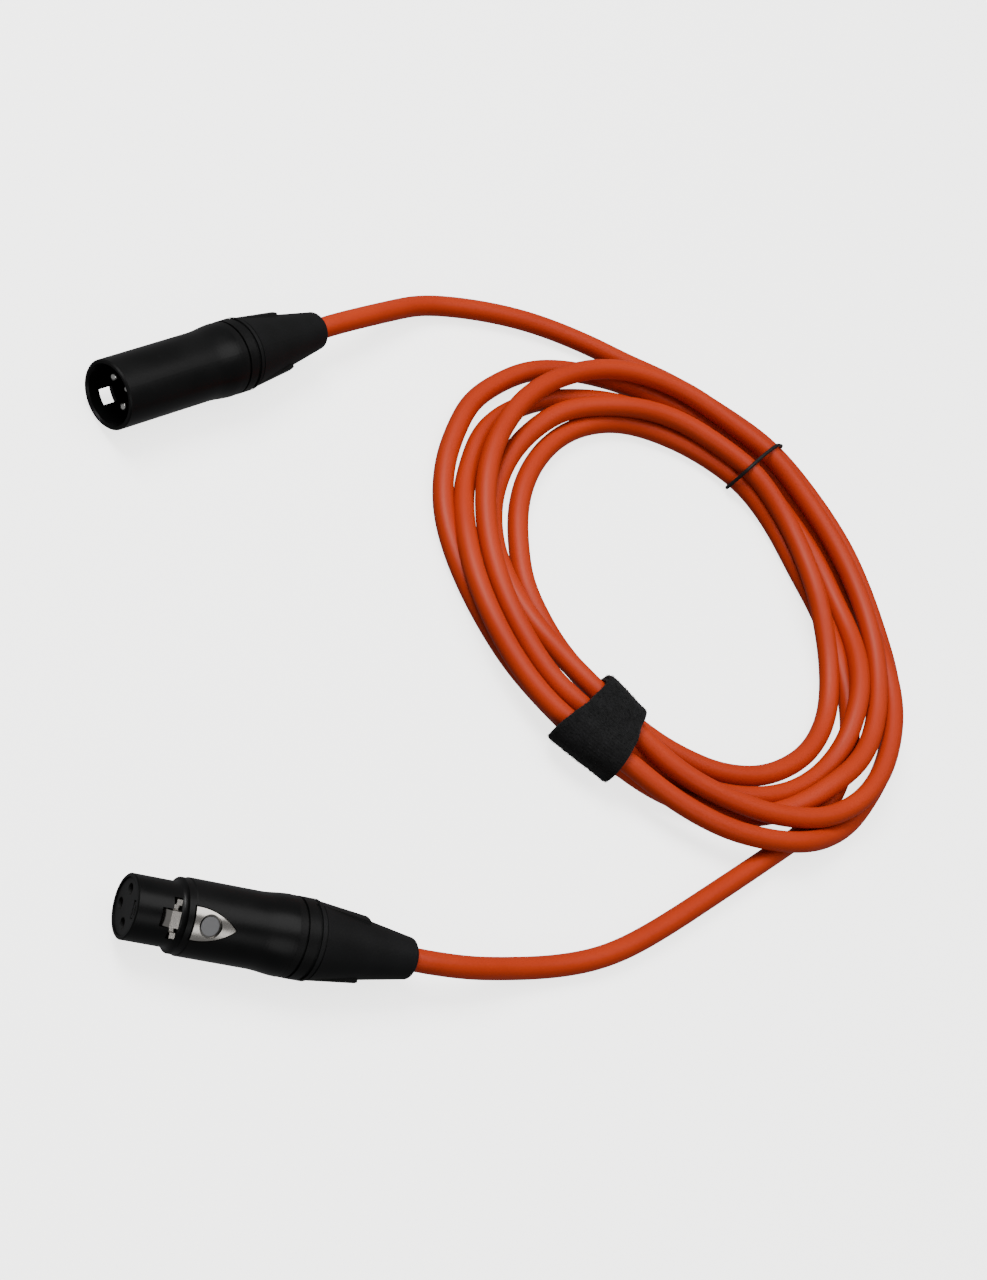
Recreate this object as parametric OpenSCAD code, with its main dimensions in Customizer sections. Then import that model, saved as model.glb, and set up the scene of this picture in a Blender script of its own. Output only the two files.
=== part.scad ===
// Coiled microphone cable with a male and a female three-pin connector.
// Each connector is drawn in its own frame: +X runs from the rim to the boot,
// +Z is the side of the key, or of the latch, and the axis is y = z = 0.

/* [Cable] */
// Outside diameter of the cable jacket
cable_d = 6; // [5.8:0.1:6.2]
// Diameter of each of the three inner wires
wire_d = 1.1; // [0.8:0.1:1.2]

/* [Connectors] */
// Length of the male connector, rim to boot end
male_len = 74.5; // [74:0.5:78]
// Length of the female connector, rim to boot end
female_len = 77; // [76.5:0.5:80]
// Outside diameter of both shells
shell_d = 19; // [18.8:0.1:19.4]
// Outside diameter of the female front barrel
barrel_d = 16; // [15.8:0.1:16.1]
// Inside diameter of the male shell
socket_d = 16.3; // [16.3:0.1:16.6]
// Outside diameter of the bushing collar
bushing_d = 20.3; // [20:0.1:21]
// Outside diameter of the boot at its end
boot_tip_d = 10.8; // [10:0.1:11.4]
// Width of the two wings of a bushing
wing_w = 7; // [5:0.5:8]

/* [Contacts] */
// Diameter of the male contact pins
pin_d = 2.4; // [2.3:0.1:2.4]
// Radius of the circle that the contacts stand on
pin_circle_r = 4.15; // [4.1:0.05:4.2]
// Depth of the pin tips behind the male rim
pin_recess = 3; // [2:0.5:4]
// Depth of the male insert's face behind the rim
socket_depth = 18; // [17:0.5:18]

/* [Latch] */
// Height that the latch tooth stands above the barrel
tooth_h = 1.1; // [0.8:0.1:1.2]
// Width of the thumb button at its front edge
button_w = 8; // [7:0.5:8]

/* [Coil] */
// Number of layers in the coil
coil_layers = 2; // [2:1:2]
// Radius of the round ends of the coil's outer outline
coil_outer_r = 78.5; // [78:0.5:80]
// Half the distance between the centres of those ends
coil_stretch = 5; // [3:0.5:6]
// Radius of the hole in the coil
coil_inner_r = 48; // [47:0.5:50]

/* [Ties] */
// Width of the hook-and-loop strap
strap_w = 18; // [15:0.5:20]
// Thickness of the strap's wound layers
strap_t = 1.6; // [1.2:0.1:2]
// Diameter of the bundle ring's round section
ring_d = 1.1; // [0.9:0.1:1.2]

/* [Hidden] */
$fn = 64;
fit_gap = 0.06;
long = 40;

// Places of the two connectors' rims, their headings and their rolls
axis_z = bushing_d / 2;
male_at = [-107.6, 40.4, axis_z];
male_heading = 37;
male_roll = 201;
female_at = [-92, -102, axis_z];
female_heading = 3.5;
female_roll = 33;

// Distances back from the boot end that both connectors share
nose_s = 44;
shell_s = 35.7;
collar_s = 33.8;
rim_s = 30;
core_s = 12;
wing_s = 14.7;
chuck_s = 40;
jacket_s = 38;
flare_len = 8;
shell_r = shell_d / 2;
bushing_r = bushing_d / 2;
rear_bore_r = 8.3;
nose_r = rear_bore_r - fit_gap;
cable_r = cable_d / 2;
pin_r = pin_d / 2;
bore_r = pin_r + 0.05;
cup_r = 1.5;

// Female front end
barrel_r = barrel_d / 2;
groove = 0.5;
barrel_in_r = 7.05;
barrel_len = 11.3;
step_x = 14.6;
body_in_r = 7.8;
insert_rear_x = 31.5;
contact_x0 = 1.8;
contact_r = 1.75;

// Latch: the lever turns on a pin behind its thumb button
pivot = [29, 0, 5.6];
latch_pin_r = 0.5;
arm_z0 = 5.3;
arm_z1 = 6.5;
arm_w = 4;
tooth_x0 = 6.8;
tooth_x1 = 10.6;
button_x0 = 14.2;
button_tip_x = 25;

// Coil and ties
coil_at = [73.3, 41.9];
coil_h = coil_layers * cable_d + 0.3;
coil_axis = -35;
strap_side = -118;
ring_side = 60;
strap_section = [26, 11];
strap_mid_r = 61;
ring_mid_r = 64.5;
ring_section = 27;
tie_gap = 0.15;

// Routes of the two free leads, from the boot to the coil
male_way = [cos(male_heading), sin(male_heading), 0];
female_way = [cos(female_heading), sin(female_heading), 0];
male_exit = male_at + male_len * male_way;
female_exit = female_at + female_len * female_way;
male_route = [
    male_exit, male_exit + 8 * male_way, [-33.7, 96.2, 8.8], [-22.7, 105, 6],
    [-12, 112.9, 3.6], [-1.8, 116.9, 3], [8.3, 119.5, 3], [18.8, 121.4, 3],
    [29.3, 122.3, 3], [40.1, 122.1, 3], [49.8, 121.3, 3], [59.3, 119.9, 3]];
female_route = [
    female_exit, female_exit + 8 * female_way, [2.8, -94.9, 8.6], [13.1, -91.6, 6],
    [23.3, -88.2, 3.8], [33.1, -84.9, 3], [42.6, -81.1, 3], [52.3, -75.7, 3],
    [62.3, -68.5, 3], [72.3, -60.5, 3], [82.4, -52.1, 3], [92.7, -43.5, 3],
    [104.8, -33.3, 3], [109.3, -29.5, 3]];
tube_sides = 10;
rings_per_span = 2;

// ---- helpers ----

// Places a piece of the male connector
module in_male() {
    translate(male_at) rotate([0, 0, male_heading]) rotate([male_roll, 0, 0]) children();
}

// Places a piece of the female connector
module in_female() {
    translate(female_at) rotate([0, 0, female_heading]) rotate([female_roll, 0, 0]) children();
}

// A solid turned about the X axis from [radius, x] points
module turned(profile) {
    rotate([0, 90, 0]) rotate_extrude($fn = 96) polygon(profile);
}

// A round bar along X
module bar(x0, x1, r) {
    translate([x0, 0, 0]) rotate([0, 90, 0]) cylinder(h = x1 - x0, r = r);
}

// A tube along X
module tube(x0, x1, r_out, r_in) {
    difference() {
        bar(x0, x1, r_out);
        bar(x0 - 1, x1 + 1, r_in);
    }
}

// A block given by its two corners
module block(low, high) {
    translate(low) cube(high - low);
}

// A straight rod between two points
module rod(from, to, r) {
    along = to - from;
    translate(from)
        rotate([0, acos(along[2] / norm(along)), atan2(along[1], along[0])])
            cylinder(h = norm(along), r = r, $fn = 32);
}

// A smooth step from 0 to 1
function ease(t) = t * t * (3 - 2 * t);

// Outline of a shell's flare, which swells smoothly to the bushing's radius
function flare(x_end) = [for (i = [0 : 8])
    [shell_r + (bushing_r - shell_r) * ease(i / 8), x_end - flare_len + flare_len * i / 8]];

// Places of the three contacts: one and two across the key, three opposite it
contact_places = [[0, pin_circle_r, 0], [0, -pin_circle_r, 0], [0, 0, -pin_circle_r]];

// Starts of the three wires in the cable end, close round its axis
function wire_seat(n) = contact_places[n] * 1.35 / pin_circle_r;

// ---- pieces that both connectors have ----

// Hard ring between the shell and the bushing
module coding_ring(len) {
    color([0.03, 0.03, 0.035])
        tube(len - shell_s + fit_gap, len - collar_s - fit_gap, bushing_r - 0.05, rear_bore_r);
}

// Outline of a bushing: a threaded nose, a collar and a cone under the boot
function bushing_outline(len) = [
    [6.6, len - nose_s], [nose_r, len - nose_s], [nose_r, len - collar_s],
    [bushing_r - groove, len - collar_s], [bushing_r - groove, len - collar_s + 0.5],
    [bushing_r, len - collar_s + 0.6], [bushing_r, len - rim_s - 0.6],
    [bushing_r - groove, len - rim_s - 0.5], [bushing_r - groove, len - rim_s],
    [8.7, len - rim_s],
    [5.6, len - core_s], [3.5, len - core_s], [6.6, len - 26]];

// The wings lie on the boot's cone and stand a little proud of it
module wings(len, extra) {
    intersection() {
        turned([[5.5, len - rim_s - 0.5], [bushing_r - 0.05 + extra, len - rim_s - 0.5],
            [8.4 + extra, len - wing_s + extra], [5.5, len - wing_s + extra]]);
        block([0, -long, -wing_w / 2 - extra], [2 * long, long, wing_w / 2 + extra]);
    }
}

module bushing(len) {
    color([0.035, 0.035, 0.04]) union() {
        turned(bushing_outline(len));
        difference() {
            wings(len, 0);
            turned([[0, len - rim_s - 1], [8.7, len - rim_s - 1], [8.7, len - rim_s],
                [5.55, len - core_s], [0, len - core_s]]);
        }
    }
}

// Soft tapered sleeve moulded over the bushing's cone
module boot(len) {
    tip_r = boot_tip_d / 2;
    round_r = 1.6;
    color([0.05, 0.05, 0.055]) difference() {
        turned(concat(
            [[cable_r + fit_gap, len], [cable_r + fit_gap, len - core_s + fit_gap],
                [5.6 + fit_gap, len - core_s + fit_gap], [8.7 + fit_gap, len - rim_s + fit_gap],
                [bushing_r - groove, len - rim_s + fit_gap],
                [bushing_r - groove, len - rim_s + 0.3], [bushing_r, len - rim_s + 0.4],
                [bushing_r, len - rim_s + 1.3], [bushing_r - groove, len - rim_s + 1.4],
                [bushing_r - groove, len - rim_s + 1.8],
                [bushing_r - 0.3, len - rim_s + 1.9]],
            [for (a = [0 : 15 : 90])
                [tip_r - round_r + round_r * cos(a), len - round_r + round_r * sin(a)]]));
        wings(len, 0.08);
    }
}

// Slotted clamp that grips the jacket inside the bushing
module chuck(len) {
    color([0.9, 0.9, 0.88]) difference() {
        turned([[cable_r + fit_gap, len - chuck_s], [6.4, len - chuck_s],
            [6.4, len - chuck_s + 3], [5.9, len - chuck_s + 3], [5.9, len - 26.4],
            [4.1, len - 17.6], [cable_r + fit_gap, len - 17.6]]);
        for (turn = [0, 90])
            rotate([turn, 0, 0])
                block([len - chuck_s + 5, -long, -0.4], [len - 10, long, 0.4]);
    }
}

// Jacket from inside the clamp to the boot's end
module cable_end(len) {
    color([0.9, 0.27, 0.08]) bar(len - jacket_s, len, cable_r);
}

// A wire from its solder cup into the jacket
module wire(len, n, cup_x, tint) {
    color(tint)
        rod(contact_places[n] + [cup_x, 0, 0], wire_seat(n) + [len - jacket_s - 0.3, 0, 0],
            wire_d / 2);
}

// Cup at the back of a contact, cut open on its outer side
module solder_cup(x0, x1, n) {
    translate(contact_places[n]) difference() {
        bar(x0, x1, cup_r);
        bar(x1 - 3.2, x1 + 1, wire_d / 2 + 0.25);
        rotate([n == 0 ? -90 : n == 1 ? 90 : 180, 0, 0])
            block([x1 - 3, -long, 0.7], [x1 + 1, long, long]);
    }
}

// ---- male connector ----

male_cup_x = 32;

module male_shell() {
    in_male() color([0.02, 0.02, 0.025]) difference() {
        turned(concat(
            [[rear_bore_r, male_len - shell_s], [rear_bore_r, male_len - nose_s - 0.3],
                [socket_d / 2, male_len - nose_s - 0.3], [socket_d / 2, 0.5],
                [socket_d / 2 + 0.35, 0], [shell_r - 0.3, 0], [shell_r, 0.4]],
            flare(male_len - shell_s)));
        // window that the partner's latch tooth drops into
        block([3.7, -2.1, 5], [8.1, 2.1, 12]);
    }
}

module male_insert() {
    in_male() color([0.03, 0.03, 0.03]) difference() {
        union() {
            bar(socket_depth, 27, socket_d / 2 - fit_gap);
            // key rib along the wall
            intersection() {
                bar(12, socket_depth + 1, socket_d / 2 - fit_gap);
                block([12, -1.1, 6.6], [socket_depth + 1, 1.1, 9]);
            }
        }
        for (n = [0 : 2])
            translate(contact_places[n]) bar(socket_depth - 1, 28, pin_r + 0.3 + fit_gap);
        // pocket for the ground spring
        block([19.5, -1.7, -9], [28, 1.7, -6.9]);
    }
}

module male_pin(n) {
    in_male() color([0.85, 0.85, 0.82]) union() {
        translate(contact_places[n]) {
            translate([pin_recess + pin_r, 0, 0]) sphere(r = pin_r);
            bar(pin_recess + pin_r, 27.3, pin_r);
            // shoulder that holds the pin in the insert
            bar(socket_depth - 0.1, 27.3, pin_r + 0.3);
        }
        solder_cup(27.2, male_cup_x, n);
    }
}

// Bent strip that joins the shell to the cable's screen
module male_ground_spring() {
    in_male() color([0.8, 0.78, 0.7]) translate([0, 1.5, 0]) rotate([90, 0, 0])
        linear_extrude(height = 3)
            polygon([[19.8, -7.4], [23, -7.95], [28.4, -7.4], [28.4, -7], [23, -7.55], [19.8, -7]]);
}

module male_chuck() { in_male() chuck(male_len); }
module male_coding_ring() { in_male() coding_ring(male_len); }
module male_bushing() { in_male() bushing(male_len); }
module male_boot() { in_male() boot(male_len); }
module male_cable_end() { in_male() cable_end(male_len); }

wire_tints = [[0.72, 0.45, 0.2], [0.85, 0.1, 0.1], [0.9, 0.9, 0.9]];

module male_wire(n) {
    in_male() wire(male_len, n, male_cup_x - 2.9, wire_tints[n]);
}

// ---- female connector ----

female_cup_x = 33.6;

// Thumb button outline: two arcs that meet in a point at the back
module teardrop(grow) {
    half = button_w / 2;
    reach = button_tip_x - button_x0 - 0.8;
    arc_r = (reach * reach + half * half) / (2 * half);
    intersection() {
        for_side(1, arc_r, half, grow);
        for_side(-1, arc_r, half, grow);
        translate([button_x0 - grow, -long / 2]) square([long, long]);
    }
}

module for_side(side, arc_r, half, grow) {
    translate([button_x0 + 0.8, side * (arc_r - half)]) circle(r = arc_r + grow, $fn = 128);
}

module female_shell() {
    in_female() color([0.02, 0.02, 0.025]) difference() {
        turned(concat(
            [[rear_bore_r, female_len - shell_s], [rear_bore_r, female_len - nose_s - 0.3],
                [body_in_r, female_len - nose_s - 0.3], [body_in_r, step_x],
                [barrel_in_r, step_x], [barrel_in_r, 0], [barrel_r - 0.3, 0],
                [barrel_r, 0.3], [barrel_r, barrel_len]],
            [for (a = [0 : 15 : 90])
                [barrel_r + 1.25 * (1 - cos(a)), barrel_len + 1.25 * sin(a)]],
            [[shell_r - 0.25, 14.3], [shell_r, 14.6]],
            flare(female_len - shell_s)));
        // slot for the tooth, and notches for the lever's two lugs
        block([tooth_x0 - 0.5, -2.3, 4], [barrel_len - 0.1, 2.3, 12]);
        block([9.1, -5, 4], [barrel_len - 0.1, 5, 12]);
        translate([0, 0, 5]) linear_extrude(height = 8) teardrop(0.25);
    }
}

module female_insert() {
    in_female() color([0.08, 0.08, 0.085]) difference() {
        union() {
            bar(0.4, step_x + 0.5, barrel_in_r - fit_gap);
            bar(step_x + 0.1, insert_rear_x, body_in_r - fit_gap);
        }
        for (n = [0 : 2])
            translate(contact_places[n]) {
                bar(0, contact_x0 + 1, 1.5);
                bar(contact_x0 - fit_gap, insert_rear_x + 1, contact_r + fit_gap);
            }
        // stepped keyway
        block([0, -2.3, 3.9], [tooth_x0, 2.3, 5.3]);
        block([0, -1.3, 5.2], [tooth_x0, 1.3, 6.5]);
        // slot that holds the ground contact's leg
        block([5.3, -2.1, 2.5], [6.1, 2.1, 4.5]);
        // channel for the lever and its spring
        block([tooth_x0 - 0.6, -2.3, 3.6], [32, 2.3, 9]);
        block([9, -5.1, 3.1], [barrel_len + 0.1, 5.1, 9]);
        block([button_x0 - 0.6, -4.7, 3.3], [button_tip_x + 0.6, 4.7, 9]);
        // holes for the latch pin
        translate(pivot) rotate([90, 0, 0])
            cylinder(h = 2 * 4.3, r = latch_pin_r + 0.04, center = true);
        block([pivot[0] - 1.6, -2.7, 3.6], [32, 2.7, 9]);
    }
}

module female_contact(n) {
    in_female() color([0.85, 0.7, 0.35]) union() {
        translate(contact_places[n]) difference() {
            bar(contact_x0, 25, contact_r);
            bar(contact_x0 - 1, 18, bore_r);
        }
        solder_cup(24.9, female_cup_x, n);
    }
}

// Strip on the floor of the keyway that grounds the partner's shell
module female_ground_contact() {
    in_female() color([0.6, 0.6, 0.62]) union() {
        block([0.7, -1.9, 4.0], [6.0, 1.9, 4.3]);
        block([5.5, -1.9, 2.7], [5.9, 1.9, 4.1]);
    }
}

module latch_lever() {
    tooth_z = barrel_r + tooth_h;
    in_female() color([0.75, 0.75, 0.75]) difference() {
        union() {
            block([tooth_x0, -arm_w / 2, arm_z0], [pivot[0], arm_w / 2, arm_z1]);
            // tooth with a sloping front
            translate([0, arm_w / 2, 0]) rotate([90, 0, 0]) linear_extrude(height = arm_w)
                polygon([[tooth_x0, arm_z0], [tooth_x0, arm_z1 + 0.6], [tooth_x0 + 1.5, tooth_z],
                    [tooth_x1, tooth_z], [tooth_x1, arm_z0]]);
            // cross bar and the two lugs on it
            block([9.5, -4.7, 5], [10.9, 4.7, 6.2]);
            for (side = [-1, 1])
                translate([0, side * 4, 0]) block([9.5, -0.7, 5], [10.9, 0.7, 7.5]);
            // thumb button, curved with the shell
            intersection() {
                translate([0, 0, 4]) linear_extrude(height = 8) teardrop(0);
                tube(button_x0 - 1, button_tip_x + 1, shell_r + 0.2, 6.2);
            }
            // roller round the pin
            translate(pivot) rotate([90, 0, 0]) cylinder(h = 5, r = 1.2, center = true);
        }
        // flat round dish for the thumb, with a groove round it
        translate([18.4, 0, shell_r - 0.3]) cylinder(h = 3, r = 2.9);
        translate([18.4, 0, shell_r - 0.8]) difference() {
            cylinder(h = 3, r = 2.9);
            translate([0, 0, -1]) cylinder(h = 5, r = 2.3);
        }
        translate(pivot) rotate([90, 0, 0])
            cylinder(h = 9, r = latch_pin_r + 0.05, center = true);
    }
}

module latch_pin() {
    in_female() color([0.6, 0.6, 0.62])
        translate(pivot) rotate([90, 0, 0]) cylinder(h = 8.4, r = latch_pin_r, center = true);
}

// Leaf spring under the thumb button, held in the insert's floor
module latch_spring() {
    in_female() color([0.7, 0.7, 0.72]) translate([0, 1.5, 0]) rotate([90, 0, 0])
        linear_extrude(height = 3)
            polygon([[24.5, 3.7], [16, 3.7], [13, 4.95], [13.2, 5.15], [16.2, 4], [24.5, 4]]);
}

module female_chuck() { in_female() chuck(female_len); }
module female_coding_ring() { in_female() coding_ring(female_len); }
module female_bushing() { in_female() bushing(female_len); }
module female_boot() { in_female() boot(female_len); }
module female_cable_end() { in_female() cable_end(female_len); }

module female_wire(n) {
    in_female() wire(female_len, n, female_cup_x - 2.9, wire_tints[n]);
}

// ---- free leads ----

// Point at t on a smooth curve through b and c
function blend4(a, b, c, d, t) = 0.5 * (2 * b + (c - a) * t
    + (2 * a - 5 * b + 4 * c - d) * t * t + (3 * b - a - 3 * c + d) * t * t * t);

function smooth_route(p) = let (last = len(p) - 1) concat(
    [for (i = [0 : last - 1], k = [0 : rings_per_span - 1])
        blend4(p[max(i - 1, 0)], p[i], p[i + 1], p[min(i + 2, last)], k / rings_per_span)],
    [p[last]]);

function unit(v) = v / norm(v);

function ring_points(p, i, r) =
    let (last = len(p) - 1,
        along = unit(p[min(i + 1, last)] - p[max(i - 1, 0)]),
        side = unit(cross(along, [0, 0, 1])),
        up = cross(side, along))
    [for (k = [0 : tube_sides - 1])
        p[i] + r * (cos(360 * k / tube_sides) * side + sin(360 * k / tube_sides) * up)];

// A closed tube of round rings along a route
module cord_tube(route, r) {
    p = smooth_route(route);
    n = tube_sides;
    last = len(p) - 1;
    polyhedron(
        points = [for (i = [0 : last]) each ring_points(p, i, r)],
        faces = concat(
            [[for (k = [0 : n - 1]) k]],
            [for (i = [0 : last - 1], k = [0 : n - 1])
                [i * n + k, (i + 1) * n + k, (i + 1) * n + (k + 1) % n, i * n + (k + 1) % n]],
            [[for (k = [n - 1 : -1 : 0]) last * n + k]]));
}

module male_lead() { color([0.9, 0.27, 0.08]) cord_tube(male_route, cable_r); }
module female_lead() { color([0.9, 0.27, 0.08]) cord_tube(female_route, cable_r); }

// ---- coil and ties ----

// Turns a child that is drawn round the bundle into its place on the coil:
// the child's X runs outwards, its Y along the bundle and its Z up
module on_coil(side, r) {
    translate([coil_at[0], coil_at[1], 0]) rotate([0, 0, side]) translate([r, 0, 0]) children();
}

// Flat outline with round ends, w wide and h high, centred on w
module stadium(w, h) {
    square_w = w - h;
    translate([-square_w / 2, 0]) square([square_w, h]);
    for (side = [-1, 1]) translate([side * square_w / 2, h / 2]) circle(r = h / 2);
}

// Prism of that outline along the bundle, its underside at height z
module stadium_prism(w, h, length, z) {
    translate([0, length / 2, z]) rotate([90, 0, 0]) linear_extrude(height = length) stadium(w, h);
}

// The whole hank as one body: an oval ring, necked where the ties pull it in
module cable_coil() {
    color([0.9, 0.27, 0.08]) difference() {
        translate([coil_at[0], coil_at[1], 0]) linear_extrude(height = coil_h) difference() {
            rotate(coil_axis) union() {
                for (side = [-1, 1])
                    translate([side * coil_stretch, 0]) circle(r = coil_outer_r, $fn = 128);
                translate([-coil_stretch, -coil_outer_r])
                    square([2 * coil_stretch, 2 * coil_outer_r]);
            }
            circle(r = coil_inner_r, $fn = 128);
        }
        neck(strap_side, strap_mid_r, strap_section[0], strap_w + 1, strap_t, strap_section[1]);
        neck(ring_side, ring_mid_r, ring_section, 3 * ring_d, ring_d, strap_section[1]);
    }
}

// Space that a tie takes from the coil
module neck(side, r, w, length, t, h) {
    on_coil(side, r) difference() {
        block([-20, -length / 2, -1], [20, length / 2, 20]);
        stadium_prism(w, h, length + 2, t + tie_gap);
    }
}

// Hook-and-loop strap, wound once round the bundle
module cable_strap() {
    w = strap_section[0] + 2 * tie_gap;
    h = strap_section[1] + 2 * tie_gap;
    color([0.04, 0.04, 0.045]) on_coil(strap_side, strap_mid_r) difference() {
        stadium_prism(w + 2 * strap_t, h + 2 * strap_t, strap_w, 0);
        stadium_prism(w, h, strap_w + 2, strap_t);
    }
}

// Thin elastic ring round the bundle
module bundle_ring() {
    straight = ring_section - strap_section[1];
    bend_r = strap_section[1] / 2 + tie_gap + ring_d / 2;
    color([0.03, 0.03, 0.03]) on_coil(ring_side, ring_mid_r)
        translate([0, 0, bend_r + ring_d / 2]) rotate([90, 0, 0]) union() {
            for (side = [-1, 1]) {
                translate([side * straight / 2, 0, 0]) rotate([0, 0, side == 1 ? -90 : 90])
                    rotate_extrude(angle = 180) translate([bend_r, 0]) circle(r = ring_d / 2, $fn = 24);
                translate([-straight / 2, side * bend_r, 0]) rotate([0, 90, 0])
                    cylinder(h = straight, r = ring_d / 2, $fn = 24);
            }
        }
}

male_shell();
male_insert();
male_pin(0);  // male_pin_1
male_pin(1);  // male_pin_2
male_pin(2);  // male_pin_3
male_ground_spring();
male_chuck();
male_coding_ring();
male_bushing();
male_boot();
male_wire(0);  // male_wire_1
male_wire(1);  // male_wire_2
male_wire(2);  // male_wire_3
male_cable_end();
female_shell();
female_insert();
female_contact(0);  // female_contact_1
female_contact(1);  // female_contact_2
female_contact(2);  // female_contact_3
female_ground_contact();
latch_lever();
latch_pin();
latch_spring();
female_chuck();
female_coding_ring();
female_bushing();
female_boot();
female_wire(0);  // female_wire_1
female_wire(1);  // female_wire_2
female_wire(2);  // female_wire_3
female_cable_end();
male_lead();
cable_coil();
female_lead();
cable_strap();
bundle_ring();
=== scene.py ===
# %% [markdown]
# # A coiled microphone cable with its two connectors
# The object is one long cable, wound by hand into a flat coil of about five
# and a half turns, held by a hook-and-loop strap and a thin rubber ring. A
# connector with pins sits on one end and one with sockets on the other. The
# connectors come from the CAD frame and only get finishes here. The cable, the
# strap and the ring are soft, so they are made again in Blender as what they are.

# %% Load the frame
import math

import bmesh
import bpy
from mathutils import Matrix, Vector
from mathutils.geometry import convex_hull_2d


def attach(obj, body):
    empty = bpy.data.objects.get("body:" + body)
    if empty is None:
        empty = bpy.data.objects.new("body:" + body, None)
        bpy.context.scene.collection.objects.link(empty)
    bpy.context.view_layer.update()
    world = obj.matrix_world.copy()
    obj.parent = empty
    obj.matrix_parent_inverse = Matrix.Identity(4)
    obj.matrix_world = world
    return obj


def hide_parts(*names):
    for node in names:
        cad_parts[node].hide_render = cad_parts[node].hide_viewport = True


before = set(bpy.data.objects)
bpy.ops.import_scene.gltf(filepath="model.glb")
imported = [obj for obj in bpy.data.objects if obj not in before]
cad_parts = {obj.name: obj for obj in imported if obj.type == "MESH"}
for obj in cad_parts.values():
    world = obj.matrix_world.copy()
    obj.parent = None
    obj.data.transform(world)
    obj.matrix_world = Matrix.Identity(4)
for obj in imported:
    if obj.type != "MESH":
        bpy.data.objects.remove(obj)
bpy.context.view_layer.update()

MM = 0.001


# %% [markdown]
# ## The camera
# The object is seen from above through a long lens, and the camera is rolled so
# that the cable fills the tall frame. The view is set from three directions,
# right, up and back, because a rolled camera has no simple angles.

# %% Place the camera
CAMERA_RIGHT = Vector((0.8584, 0.0, 0.5130))
CAMERA_BACK = Vector((-0.4377, -0.5215, 0.7324)).normalized()
CAMERA_UP = CAMERA_BACK.cross(CAMERA_RIGHT).normalized()
LOOK_AT = Vector((0.0148, 0.0099, 0.0))
CAMERA_DISTANCE = 0.7692
SENSOR_MM, FOCAL_MM, NEAR_CLIP = 36.0, 78.75, 0.01

lens = bpy.data.cameras.new("studio_camera")
lens.sensor_fit = "VERTICAL"
lens.sensor_height = SENSOR_MM
lens.lens = FOCAL_MM
lens.clip_start = NEAR_CLIP
camera = bpy.data.objects.new("studio_camera", lens)
bpy.context.scene.collection.objects.link(camera)
turn = Matrix((CAMERA_RIGHT, CAMERA_UP, CAMERA_BACK)).transposed().to_4x4()
stand = LOOK_AT + CAMERA_BACK * CAMERA_DISTANCE
camera.matrix_world = Matrix.Translation(stand) @ turn
bpy.context.scene.camera = camera
print("camera at", tuple(round(v, 3) for v in camera.matrix_world.translation))


# %% [markdown]
# ## Wiring nodes by hand-written sums
# Materials and Geometry Nodes trees are both boards of nodes. A small class
# wraps an output so that a mask can be written as `1 - mask * 0.5`, and one
# method makes any node from its type, its settings and its sockets.

# %% Node helpers
class Wire:
    """An output socket that can be added, subtracted, multiplied and divided."""

    def __init__(self, board, socket):
        self.board, self.socket = board, socket

    def _sum(self, operation, first, second):
        made = self.board.node("ShaderNodeMath", {"operation": operation},
                               {0: first, 1: second})
        return self.board.out(made)

    def __add__(self, other):
        return self._sum("ADD", self, other)

    def __sub__(self, other):
        return self._sum("SUBTRACT", self, other)

    def __mul__(self, other):
        return self._sum("MULTIPLY", self, other)

    def __truediv__(self, other):
        return self._sum("DIVIDE", self, other)

    def __rsub__(self, other):
        return self._sum("SUBTRACT", other, self)

    def __rtruediv__(self, other):
        return self._sum("DIVIDE", other, self)

    __radd__ = __add__
    __rmul__ = __mul__


class Board:
    """A node tree, with one way to make a node and one way to take its output."""

    def __init__(self, tree):
        self.tree = tree

    def node(self, kind, settings=None, sockets=None):
        made = self.tree.nodes.new(kind)
        for name, value in (settings or {}).items():
            if name == "stops":
                ramp = made.color_ramp
                while len(ramp.elements) < len(value):
                    ramp.elements.new(0.5)
                for element, (place, level) in zip(ramp.elements, value):
                    element.position = place
                    element.color = (level, level, level, 1)
            else:
                setattr(made, name, value)
        for name, value in (sockets or {}).items():
            if isinstance(value, Wire):
                self.tree.links.new(value.socket, made.inputs[name])
            else:
                made.inputs[name].default_value = value
        return made

    def out(self, node, name=0):
        return Wire(self, node.outputs[name])

    def mix(self, mask, low, high):
        """A colour between low and high, as mask goes from 0 to 1."""
        made = self.node("ShaderNodeMix", {"data_type": "RGBA"},
                         {0: mask, 6: low, 7: high})
        return self.out(made, 2)

    def noise(self, where, scale, detail=2.0, rough=0.5):
        made = self.node("ShaderNodeTexNoise", {"noise_dimensions": "3D"},
                         {"Vector": where, "Scale": scale, "Detail": detail,
                          "Roughness": rough})
        return self.out(made, 0)

    def steps(self, value, *stops):
        """value passed through a grey ramp of (place, level) stops."""
        made = self.node("ShaderNodeValToRGB", {"stops": stops}, {0: value})
        return self.out(made)

    def bump(self, height, depth, strength=1.0):
        made = self.node("ShaderNodeBump", {}, {"Strength": strength,
                                                "Distance": depth, "Height": height})
        return self.out(made)


def finish_material(name, paint, **constants):
    """A Principled material. paint(board, where, link) wires what varies."""
    material = bpy.data.materials.new(name)
    material.use_nodes = True
    board = Board(material.node_tree)
    shader = material.node_tree.nodes["Principled BSDF"]
    for socket, value in constants.items():
        shader.inputs[socket.replace("_", " ")].default_value = value
    where = board.out(board.node("ShaderNodeTexCoord"), "Object")

    def link(socket, value):
        board.tree.links.new(value.socket, shader.inputs[socket])

    paint(board, where, link)
    return material


def shade(level, warm=1.0, cool=1.0):
    """A near-grey colour in linear values."""
    return (level * warm, level, level * cool, 1.0)


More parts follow.
